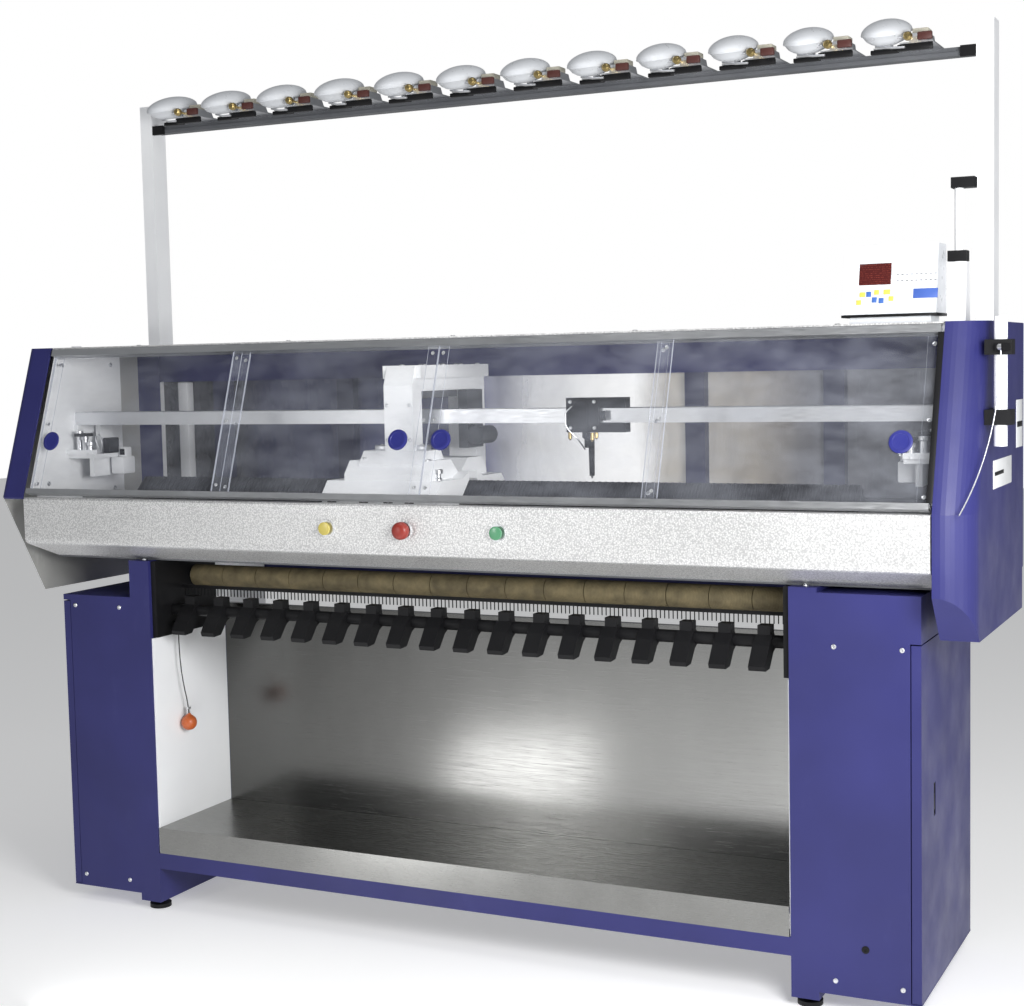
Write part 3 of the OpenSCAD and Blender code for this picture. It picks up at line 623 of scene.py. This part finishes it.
# The doors' slope: its lower front edge and how far it leans back
SLOPE_DEGREES = 18.9
SLOPE_AT = Vector((0, -0.287, 1.062))
SLOPE_PLACE = Matrix.Translation(SLOPE_AT) @ turn(-SLOPE_DEGREES, "X")
OUTER_DOORS = (2, 3)
STRIP_HIGH = 0.360


def local_y(node):
    """The span of a door node through the slope, from outside to inside."""
    back = SLOPE_PLACE.inverted()
    local = [back @ v.co for v in nodes[node].data.vertices]
    return min(v.y for v in local), max(v.y for v in local)


def make_door_fittings():
    """Round dished pulls on the four doors, and screws along each door's end strips."""
    back = SLOPE_PLACE.inverted()
    for i in (1, 2, 3, 4):
        door, pull, body = f"door_{i}", f"door_pull_{i}", f"door_{i}"
        low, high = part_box(pull)
        y0, y1 = local_y(pull)
        center = back @ ((low + high) / 2)
        radius = (high.x - low.x) / 2
        bm = bmesh.new()
        if i in OUTER_DOORS:
            boss_high = 0.002
            boss = SLOPE_PLACE @ pointing((center.x, y1, center.z), (0, -1, 0))
            add_lathe(bm, [(0, 0), (0.009, 0), (0.009, boss_high)], boss, 24)
            y1 -= boss_high
        thick = y1 - y0
        place = SLOPE_PLACE @ pointing((center.x, y1, center.z), (0, -1, 0))
        edge = min(0.0018, thick * 0.45)
        add_lathe(bm, [
            (0, 0), (radius, 0), (radius, thick - edge), (radius - edge * 0.35, thick - edge * 0.3),
            (radius - edge, thick), (radius * 0.72, thick), (radius * 0.68, thick - 0.0008),
            (radius * 0.3, thick - 0.0012), (0, thick - 0.0012),
        ], place, 48)
        disc = piece(f"pull_{i}", bm, "blue_plastic", body)
        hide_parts(pull)
        dlow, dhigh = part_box(door)
        dy0, dy1 = local_y(door)
        y, out = (dy0, (0, -1, 0)) if i in OUTER_DOORS else (dy1, (0, 1, 0))
        facing = SLOPE_PLACE.to_3x3() @ Vector(out)
        bm = bmesh.new()
        for x in (dlow.x + 0.013, dhigh.x - 0.013):
            for z in (0.030, 0.187, STRIP_HIGH - 0.015):
                add_screw(bm, SLOPE_PLACE @ Vector((x, y, z)), facing, 0.0045, 0.0022)
        piece(f"door_screws_{i}", bm, "bright_steel", body)


# ---------- buttons ----------


def make_buttons():
    """Domed yellow and green caps and a red mushroom head, each on its stem."""
    stem = 0.0098
    for name in ("yellow", "red", "green"):
        low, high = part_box(f"button_{name}")
        x, z = (low.x + high.x) / 2, (low.z + high.z) / 2
        radius = (high.x - low.x) / 2
        place = pointing((x, high.y, z), (0, -1, 0))
        deep = high.y - low.y
        bm = bmesh.new()
        if name == "red":
            head = deep - 0.021
            add_lathe(bm, [
                (0, 0), (stem, 0), (stem, head), (0.013, head + 0.0008),
                (radius - 0.0008, head + 0.002), (radius, head + 0.004), (radius, head + 0.010),
                (radius * 0.93, head + 0.015), (radius * 0.75, head + 0.0185),
                (radius * 0.45, head + 0.0205), (0, head + 0.021),
            ], place, 48)
        else:
            head = deep - 0.0055
            add_lathe(bm, [
                (0, 0), (stem, 0), (stem, head), (radius, head), (radius, head + 0.0032),
                (radius * 0.93, head + 0.0045), (radius * 0.7, head + 0.0052),
                (radius * 0.35, head + 0.0055), (0, head + 0.0055),
            ], place, 48)
        cap = piece(f"{name}_cap", bm, f"{name}_plastic", f"button_{name}")
        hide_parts(f"button_{name}")


# ---------- yarn stand ----------

UNIT_COUNT = 12
UNIT_PITCH = 0.1755
# A dome's half size, its tilt, and its middle beside, behind and above its unit's origin
DOME_HALF = (0.0535, 0.0895, 0.0288)
DOME_TILT = 14
DOME_SIDE, DOME_Y, DOME_RISE = -0.034, 0.205, 0.033


def add_dome(bm, at):
    """A closed lens-shaped cap with a pressed rim, tilted up towards the back."""
    upper = [(math.cos(a), math.sin(a) ** 1.1) for a in (math.radians(d) for d in range(6, 91, 7))]
    rim = [(0.93, -0.14), (0.985, -0.10), (1.0, -0.02), (0.985, 0.08)]
    lower = [(0.0, -0.98), (0.35, -0.93), (0.62, -0.74), (0.8, -0.5)]
    place = Matrix.Translation(at) @ turn(DOME_TILT, "X") @ Matrix.Diagonal((*DOME_HALF, 1))
    add_lathe(bm, lower + rim + upper[1:], place, 48)


def make_tension_units():
    """Twelve alike units on the bar: a dome, a knob, two blocks, wire arms, bands and a rod."""
    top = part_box("yarn_bar")[1].z
    domes, blocks, dark, chrome, knobs, bands, rods = (bmesh.new() for _ in range(7))
    for i in range(UNIT_COUNT):
        x = (i - (UNIT_COUNT - 1) / 2) * UNIT_PITCH
        cx = x + DOME_SIDE
        add_dome(domes, (cx, DOME_Y, top + DOME_RISE))
        stem = [(0, 0), (0.008, 0), (0.008, 0.012), (0.0065, 0.014), (0, 0.015)]
        add_lathe(domes, stem, Matrix.Translation((cx, 0.231, top + 0.003)), 20)
        add_box(blocks, (x + 0.0215, 0.205, top + 0.023), (x + 0.056, 0.243, top + 0.036), 0.002)
        add_box(dark, (x + 0.0405, 0.166, top + 0.004), (x + 0.072, 0.1775, top + 0.021), 0.0025)
        add_tube(chrome, [(cx + 0.008, 0.170, top + 0.012), (cx + 0.034, 0.160, top + 0.010),
                          (x + 0.010, 0.158, top + 0.011)], 0.0022, 8)
        add_tube(chrome, [(cx - 0.020, 0.186, top + 0.001), (x - 0.012, 0.156, top - 0.010),
                          (x + 0.018, 0.150, top - 0.012)], 0.0025, 8)
        place = pointing((x + 0.024, 0.178, top + 0.011), (0, -1, 0))
        add_lathe(knobs, [(0, 0), (0.003, 0), (0.003, 0.016), (0.0065, 0.018), (0.0095, 0.022),
                          (0.010, 0.027), (0.0092, 0.032), (0.006, 0.0355), (0, 0.036)], place, 24)
        add_box(bands, (x - 0.006, 0.180, top - 0.014), (x + 0.070, 0.192, top - 0.0002), 0.002)
        add_box(bands, (cx - 0.040, 0.218, top - 0.010), (cx + 0.022, 0.230, top - 0.0002), 0.002)
        add_tube(rods, [(x - 0.030, 0.262, top + 0.004), (x + 0.050, 0.262, top + 0.004)], 0.004, 12)
    lens = piece("lens_domes", domes, "white_plastic", "frame")
    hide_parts("tension_domes")
    turned = piece("unit_knobs", knobs, "brass_knob", "frame")
    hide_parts("tension_knobs")
    piece("unit_blocks", blocks, "white_plastic", "frame", materials["beige"])
    piece("unit_dark_blocks", dark, "white_plastic", "frame", materials["dark_red"])
    piece("unit_arms", chrome, "bright_steel", "frame")
    piece("unit_bands", bands, "black_metal", "frame")
    piece("unit_rods", rods, "bright_steel", "frame")


# ---------- control box ----------


def make_control_box():
    """Display, keys, label and marks on the control box's leaning face, and its dark rim."""
    low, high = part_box("control_box")
    x0, x1 = low.x, high.x
    foot, top_front = 0.019, -0.101
    lean = math.atan2(top_front - low.y, high.z - low.z - foot)
    face = Matrix.Translation((0, low.y, low.z + foot)) @ Matrix.Rotation(-lean, 4, "X")
    bm = bmesh.new()
    add_box(bm, (x0 + 0.031, -0.0012, 0.060), (x0 + 0.098, 0.004, 0.106), 0.002, face)
    piece("display", bm, "white_plastic", "frame", materials["screen"])
    bm = bmesh.new()
    for x, z, wide in ((0.034, 0.036, 0.012), (0.064, 0.040, 0.010), (0.083, 0.040, 0.014),
                       (0.094, 0.026, 0.010), (0.028, 0.020, 0.010)):
        add_box(bm, (x0 + x, -0.0020, z), (x0 + x + wide, 0.002, z + 0.010), 0.001, face)
    piece("keys_yellow", bm, "white_plastic", "frame", materials["key_yellow"])
    bm = bmesh.new()
    for x, z in ((0.048, 0.036), (0.060, 0.024), (0.074, 0.022)):
        add_box(bm, (x0 + x, -0.0020, z), (x0 + x + 0.010, 0.002, z + 0.011), 0.001, face)
    piece("keys_blue", bm, "white_plastic", "frame", materials["key_blue"])
    bm = bmesh.new()
    add_box(bm, (x0 + 0.143, -0.0008, 0.030), (x0 + 0.192, 0.002, 0.050), 0.0005, face)
    piece("label_plate", bm, "white_plastic", "frame", materials["label_blue"])
    bm = bmesh.new()
    add_box(bm, (x0 - 0.002, low.y - 0.002, low.z + 0.013),
            (x1 + 0.002, high.y, low.z + 0.0185), 0.001)
    piece("box_rim", bm, "black_metal", "frame")
    bm = bmesh.new()
    mark_rows, mark_columns = 5, 9
    for row in range(mark_rows):
        for column in range(mark_columns):
            x = x0 + 0.108 + column * 0.0095
            z = 0.066 + row * 0.013
            add_box(bm, (x, -0.0006, z), (x + 0.005, 0.001, z + 0.0022), 0.0003, face, 1)
    piece("panel_marks", bm, "grey_paint", "frame")


# ---------- cabinets ----------


def make_cabinet_fittings():
    """A sunk handle with a thin rim in each cabinet door, and the lock in the right leg."""
    y0, y1, z0, z1 = -0.0838, -0.0662, 0.4062, 0.4758
    rim = 0.0022
    for side, body in ((1, "right_cabinet_door"), (-1, "left_cabinet_door")):
        low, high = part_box(body)
        outer = high.x if side > 0 else -low.x
        inner, face = outer - 0.010, outer - 0.0005
        bm = bmesh.new()
        flip = Matrix.Diagonal((side, 1, 1, 1))
        for a, b in (((inner, y0, z0), (face, y0 + rim, z1)),
                     ((inner, y1 - rim, z0), (face, y1, z1)),
                     ((inner, y0, z0), (face, y1, z0 + rim)),
                     ((inner, y0, z1 - rim), (face, y1, z1)),
                     ((outer - 0.0115, y0, z0), (outer - 0.009, y1, z1)),
                     ((outer - 0.008, y0 + 0.005, z0 + 0.012), (outer - 0.0008, y1 - 0.005, z0 + 0.046))):
            add_box(bm, a, b, 0.0008, flip)
        piece(f"{body}_handle", bm, "black_metal", body)
    bm = bmesh.new()
    leg_low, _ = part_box("right_cabinet")
    place = pointing((0.978, leg_low.y, 0.144), (0, -1, 0))
    add_lathe(bm, [(0, 0), (0.008, 0), (0.008, 0.0012), (0.006, 0.002), (0.0035, 0.002),
                   (0.003, 0.0008), (0, 0.0008)], place, 24)
    piece("cabinet_lock", bm, "black_metal", "frame")


# ---------- inside the upper body ----------

CARRIAGE_X = -0.112


def make_carriage_fittings():
    """Cams, levers and plates on the carriage; everything sits on its CAD blocks."""
    mid = CARRIAGE_X
    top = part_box("cam_boxes")[1].z
    bridge_front, bridge_top, slot_front = -0.165, 1.361, -0.2335
    dark, steel, knobs, caps = (bmesh.new() for _ in range(4))
    add_box(dark, (mid - 0.030, -0.1215, 1.300), (mid + 0.032, -0.119, 1.318), 0.001)
    for x, wide in ((-0.075, 0.030), (-0.020, 0.022), (0.030, 0.034)):
        add_box(steel, (mid + x, -0.150, top - 0.001), (mid + x + wide, -0.128, top + 0.012), 0.002)
        add_screw(steel, (mid + x + wide / 2, -0.139, top + 0.012), (0, 0, 1), 0.0045)
    for x in (-0.145, -0.06, 0.005, 0.06):
        add_box(dark, (mid + x - 0.0118, slot_front, 1.0465), (mid + x + 0.0118, -0.226, 1.0615), 0.001)
        add_tube(steel, [(mid + x, slot_front, 1.054), (mid + x, -0.227, 1.054)], 0.004, 16)
    for x, z in ((-0.112, 1.098), (-0.085, 1.125), (0.074, 1.120), (0.103, 1.098)):
        place = pointing((mid + x, -0.170, z - 0.002), (0, 0, 1))
        add_lathe(knobs, [(0, 0), (0.009, 0), (0.009, 0.006), (0.006, 0.009), (0.006, 0.016),
                          (0.011, 0.018), (0.011, 0.026), (0.009, 0.028), (0, 0.028)], place, 24)
    for x in (-0.030, 0.029):
        for z in (1.19, 1.27):
            add_screw(caps, (mid + x, bridge_front, z), (0, -1, 0), 0.0045, 0.002)
    for y in (-0.090, 0.000, 0.090, 0.180):
        for x in (-0.030, 0.030):
            add_screw(caps, (mid + x, y, bridge_top), (0, 0, 1), 0.006, 0.003)
    add_box(dark, (mid + 0.0375, 0.066, 1.206), (mid + 0.0745, 0.074, 1.236), 0.002)
    piece("carriage_dark", dark, "black_metal", "carriage")
    piece("carriage_cams", steel, "bright_steel", "carriage")
    piece("carriage_knobs", knobs, "alloy", "carriage")
    piece("carriage_screws", caps, "bright_steel", "carriage")


def make_feeder_fittings():
    """Brass eyelets, a yarn wire, screws and dark plates on the yarn feeder."""
    brass, steel, dark = (bmesh.new() for _ in range(3))
    for x, z in ((0.288, 1.200), (0.342, 1.197), (0.352, 1.202)):
        add_tube(brass, [(x, -0.094, z + 0.006), (x, -0.094, z - 0.010)], 0.0045, 16)
        add_tube(brass, [(x, -0.094, z - 0.010), (x, -0.094, z - 0.014)], [0.003, 0.0018], 12)
    add_tube(steel, smooth_path([(0.296, -0.1005, 1.262), (0.285, -0.112, 1.245), (0.290, -0.114, 1.215),
                                 (0.310, -0.104, 1.190), (0.318, -0.080, 1.165)]), 0.0016, 8)
    for x in (0.292, 0.350):
        add_screw(steel, (x, -0.100, 1.272), (0, -1, 0), 0.0045)
        add_screw(steel, (x, -0.100, 1.214), (0, -1, 0), 0.0045)
    add_box(dark, (0.306, -0.1035, 1.212), (0.334, -0.0998, 1.270), 0.0015)
    add_box(dark, (0.366, -0.1025, 1.230), (0.378, -0.0998, 1.252), 0.001)
    add_box(dark, (0.312, -0.0715, 1.168), (0.330, -0.052, 1.190), 0.002)
    add_tube(steel, [(0.321, -0.050, 1.1055), (0.321, -0.050, 1.098)], [0.0035, 0.0015], 12)
    piece("feeder_guides", brass, "brass_knob", "yarn_feeder")
    piece("feeder_wire", steel, "bright_steel", "yarn_feeder")
    piece("feeder_plates", dark, "black_metal", "yarn_feeder")


def make_end_mechanisms():
    """Brushes, cutters and guides on the end panels' brackets, at both ends."""
    bracket_top, panel_x = 1.150, 1.126
    for side, name in ((-1, "left"), (1, "right")):
        flip = Matrix.Diagonal((side, 1, 1, 1))
        steel, dark, pale = (bmesh.new() for _ in range(3))
        for x, y, tall in ((1.100, -0.105, 0.050), (1.078, -0.110, 0.036), (1.055, -0.1175, 0.022)):
            place = Matrix.Translation((side * x, y, bracket_top))
            add_lathe(steel, [(0, 0), (0.011, 0), (0.011, 0.004), (0.007, 0.006), (0.007, tall),
                              (0.0095, tall + 0.002), (0.0095, tall + 0.010), (0, tall + 0.011)], place, 28)
        add_box(dark, (1.068, -0.118, 1.196), (1.108, -0.088, 1.204), 0.002, flip)
        add_box(dark, (1.040, -0.060, 1.1505), (1.062, -0.020, 1.190), 0.003, flip)
        add_box(pale, (1.010, -0.045, 1.095), (1.050, 0.005, 1.140), 0.004, flip)
        add_box(pale, (1.012, -0.030, 1.098), (1.036, -0.005, 1.165), 0.003, flip)
        add_box(dark, (1.016, -0.031, 1.144), (1.032, -0.0285, 1.160), 0.001, flip)
        curl = [(1.030, -0.105, 1.155), (1.024, -0.108, 1.180), (1.034, -0.108, 1.200),
                (1.046, -0.106, 1.190), (1.040, -0.104, 1.168)]
        add_tube(steel, [flip @ Vector(p) for p in smooth_path(curl)], 0.0022, 8)
        for y, z in ((-0.13, 1.38), (0.06, 1.38), (-0.20, 1.08), (0.06, 1.05)):
            add_screw(steel, (side * panel_x, y, z), (-side, 0, 0), 0.006, 0.003)
        piece(f"{name}_guides", steel, "bright_steel", "frame")
        piece(f"{name}_clamps", dark, "black_metal", "frame")
        piece(f"{name}_housings", pale, "white_paint", "frame")


def make_body_fittings():
    """Small screws, plates and edges on the outside of the upper body and legs."""
    steel, dark, labels = (bmesh.new() for _ in range(3))
    cover_top, leg_head, leg_front, rear = 1.425, 0.890, -0.200, 0.320
    for x in (-0.9, -0.45, 0.0, 0.45, 0.9):
        for y in (-0.10, 0.22):
            add_screw(steel, (x, y, cover_top), (0, 0, 1), 0.006, 0.003)
    for side in (-1, 1):
        for y in (-0.175, -0.155):
            add_screw(steel, (side * 0.85, y, leg_head), (0, 0, 1), 0.006, 0.0035)
        for z in (0.95, 1.15, 1.38):
            add_screw(steel, (side * 1.175, rear, z), (0, 1, 0), 0.006, 0.003)
        for x in (0.915, 1.055):
            for z in (0.07, 0.77):
                add_screw(steel, (side * x, leg_front, z), (0, -1, 0), 0.0055, 0.0025)
    for x in (-0.80, -0.30, 0.30, 0.80):
        for z in (0.945, 1.385):
            add_screw(steel, (x, rear, z), (0, 1, 0), 0.007, 0.004)
    # Two blank label plates on the right end cover, each with one dark bar
    plate, bar = (1.2095, 1.2108), (1.2105, 1.2114)
    add_box(labels, (plate[0], 0.196, 1.156), (plate[1], 0.274, 1.259), 0.0004)
    add_box(labels, (plate[0], -0.074, 1.086), (plate[1], 0.136, 1.144), 0.0004)
    add_box(dark, (bar[0], 0.204, 1.200), (bar[1], 0.266, 1.212), 0.0003)
    add_box(dark, (bar[0], -0.060, 1.112), (bar[1], 0.040, 1.120), 0.0003)
    add_box(dark, (0.996, -0.060, 1.398), (1.034, -0.020, 1.4212), 0.003)
    piece("body_screws", steel, "bright_steel", "frame")
    piece("body_dark_parts", dark, "black_metal", "frame")
    piece("body_labels", labels, "white_plastic", "frame", materials["label_white"])


def make_inner_fittings():
    """The gasket at the right end of the doors, and a cable duct on the rear frame."""
    bm = bmesh.new()
    add_box(bm, (1.1212, -0.001, 0.013), (1.1329, 0.002, 0.362), 0.0006, SLOPE_PLACE)
    piece("door_end_gasket", bm, "black_metal", "frame")
    bm = bmesh.new()
    add_box(bm, (-1.078, 0.287, 1.012), (-1.046, 0.3165, 1.328), 0.003)
    piece("cable_duct", bm, "white_paint", "frame")


# ---------- assembly ----------


def repaint(node, material, chosen):
    """Gives the faces of a node that chosen(centre, normal) accepts a second finish."""
    mesh = nodes[node].data
    mesh.materials.append(materials[material])
    index = len(mesh.materials) - 1
    for face in mesh.polygons:
        if chosen(face.center, face.normal):
            face.material_index = index


def paint_frame():
    """Gives every node its slot's finish, then second finishes to some faces."""
    for subpart in frame["record"]["subparts"]:
        obj = nodes[subpart["node"]]
        obj.data.materials.clear()
        obj.data.materials.append(materials[subpart["material_slot"]])
    nodes["back_panel"].data.materials[0] = materials["panel_steel"]
    repaint("left_end_cover", "liner", lambda at, normal: normal.x > 0.3 and at.x < -1.15)
    repaint("right_end_cover", "liner", lambda at, normal: normal.x < -0.3 and at.x > 1.15)
    repaint("rear_frame", "white_paint", lambda at, normal: at.x < -1.14 and 0.89 < at.z < 1.325)
    repaint("rear_frame", "pillar_paint", lambda at, normal: abs(at.x) < 1.1 and 1.012 < at.z < 1.328)
    repaint("feeder_rails", "rail_shade", lambda at, normal: normal.z > 0.5)
    repaint("yarn_bar", "black_metal", lambda at, normal: abs(at.x) > 1.07 and at.y < 0.2725)


materials = make_materials()
add_stage()
make_pull_cord()
paint_frame()
make_door_fittings()
make_buttons()
make_tension_units()
make_control_box()
make_cabinet_fittings()
make_inner_fittings()
make_carriage_fittings()
make_feeder_fittings()
make_end_mechanisms()
make_body_fittings()
